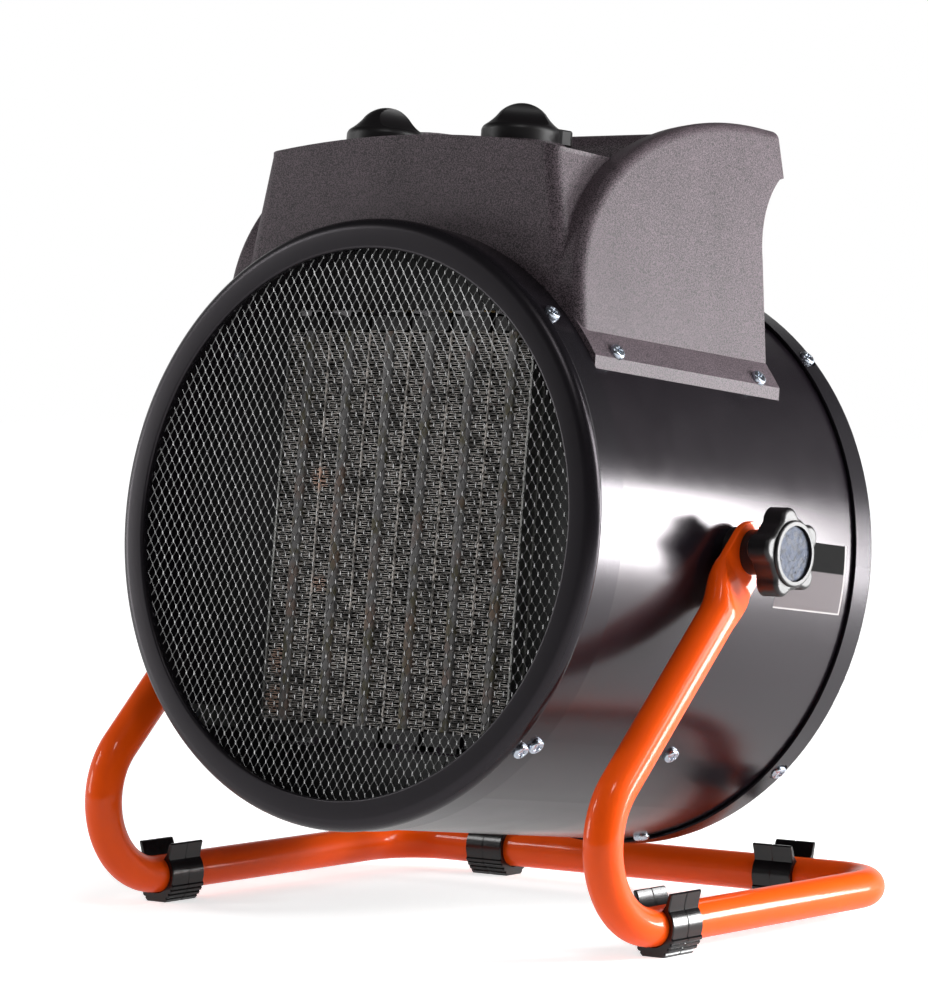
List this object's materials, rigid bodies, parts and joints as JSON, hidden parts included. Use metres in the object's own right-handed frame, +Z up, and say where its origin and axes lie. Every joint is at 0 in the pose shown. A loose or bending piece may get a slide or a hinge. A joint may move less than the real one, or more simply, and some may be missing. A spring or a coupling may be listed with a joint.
{
  "type": "forced air heater",
  "caption": "Drum-shaped ceramic fan heater that tilts on a bent-tube floor stand, with a mesh outlet, control housing, carry handle, two top knobs and clamping knobs.",
  "frame": {"origin": "on the floor under the tilt pivot, midway between the two sides: bottom centre of the overall box", "axes": "+X to the right of someone who faces the outlet, -Y the way the hot air blows, +Z up"},
  "size_m": [0.3668, 0.271, 0.4076],
  "materials": {
    "drum_paint": "smooth satin black powder coat",
    "ring_paint": "satin black paint",
    "mesh_paint": "black painted expanded steel",
    "ceramic": "grey-brown ceramic bars in aluminium tubes",
    "fin_metal": "thin folded strip, warm grey",
    "plated_steel": "zinc-plated pressed steel",
    "heatproof_plastic": "dark heat-proof moulding",
    "brass": "plain brass",
    "copper": "drawn copper capillary",
    "inner_paint": "flat black",
    "motor_paint": "die-cast motor frame with black enamel",
    "laminations": "stacked electrical steel",
    "fan_metal": "pressed sheet, plain",
    "housing_plastic": "fine spark-textured charcoal moulding",
    "knob_plastic": "satin black moulding",
    "lead_cover": "pale silicone-covered leads",
    "screw_zinc": "bright zinc-plated screws",
    "cap_metal": "bright disc in the knob's face",
    "stand_paint": "glossy orange-red powder coat",
    "clip_plastic": "black moulded push-on feet"
  },
  "bodies": {
    "stand": {"stand_tube": "stand_paint", "foot_clip_front_right": "clip_plastic", "foot_clip_front_left": "clip_plastic", "foot_clip_rear_right": "clip_plastic", "foot_clip_rear_left": "clip_plastic"},
    "heater": {"drum_shell": "drum_paint", "front_ring": "ring_paint", "rear_ring": "ring_paint", "front_mesh": "mesh_paint", "rear_guard": "mesh_paint", "element_bars": "ceramic", "element_fins": "fin_metal", "fin_plates": "fin_metal", "element_side_right": "plated_steel", "element_side_left": "plated_steel", "element_rail_top": "heatproof_plastic", "element_rail_bottom": "heatproof_plastic", "element_terminals": "brass", "element_baffle": "inner_paint", "element_brackets": "plated_steel", "thermal_cutout": "heatproof_plastic", "motor_body": "motor_paint", "motor_laminations": "laminations", "motor_bracket": "plated_steel", "motor_screws": "screw_zinc", "control_housing": "housing_plastic", "carry_handle": "housing_plastic", "control_panel": "housing_plastic", "thermostat_body": "heatproof_plastic", "mode_switch": "heatproof_plastic", "thermostat_capillary": "copper", "terminal_block": "heatproof_plastic", "wiring": "lead_cover", "cable_gland": "knob_plastic", "gland_nut": "knob_plastic", "front_ring_screws": "screw_zinc", "duct_screws": "screw_zinc", "drum_screws": "screw_zinc", "bracket_screws": "screw_zinc", "rear_ring_screws": "screw_zinc", "flange_screws": "screw_zinc", "pivot_nut_right": "plated_steel", "pivot_nut_left": "plated_steel", "pivot_spacer_right": "knob_plastic", "pivot_spacer_left": "knob_plastic"},
    "fan": {"fan_impeller": "fan_metal", "impeller_nut": "screw_zinc", "motor_shaft": "plated_steel"},
    "thermostat": {"thermostat_knob": "knob_plastic", "thermostat_spindle": "brass"},
    "mode_selector": {"mode_knob": "knob_plastic", "mode_spindle": "brass"},
    "clamp_right": {"star_knob_right": "knob_plastic", "knob_cap_right": "cap_metal", "knob_stud_right": "screw_zinc"},
    "clamp_left": {"star_knob_left": "knob_plastic", "knob_cap_left": "cap_metal", "knob_stud_left": "screw_zinc"}
  },
  "joints": [
    {"name": "heater_tilt", "type": "hinge", "parent": "stand", "child": "heater", "pos_m": [0, -0.0001, 0.1882], "axis": [1, 0, 0], "range_deg": [-13, 28]},
    {"name": "fan_spin", "type": "hinge", "parent": "heater", "child": "fan", "pos_m": [0, 0.01042, 0.18696], "axis": [0, 0.9932, -0.1167], "continuous": true},
    {"name": "thermostat_turn", "type": "hinge", "parent": "heater", "child": "thermostat", "pos_m": [-0.0434, -0.03658, 0.38681], "axis": [0, 0.1167, 0.9932], "range_deg": [-240, 30]},
    {"name": "mode_turn", "type": "hinge", "parent": "heater", "child": "mode_selector", "pos_m": [0.0434, -0.03658, 0.38681], "axis": [0, 0.1167, 0.9932], "range_deg": [-135, 0]},
    {"name": "clamp_right_turn", "type": "hinge", "parent": "heater", "child": "clamp_right", "pos_m": [0.17, -0.0001, 0.1882], "axis": [1, 0, 0], "range_deg": [0, 360]},
    {"name": "clamp_left_turn", "type": "hinge", "parent": "heater", "child": "clamp_left", "pos_m": [-0.17, -0.0001, 0.1882], "axis": [-1, 0, 0], "range_deg": [0, 360]}
  ]
}
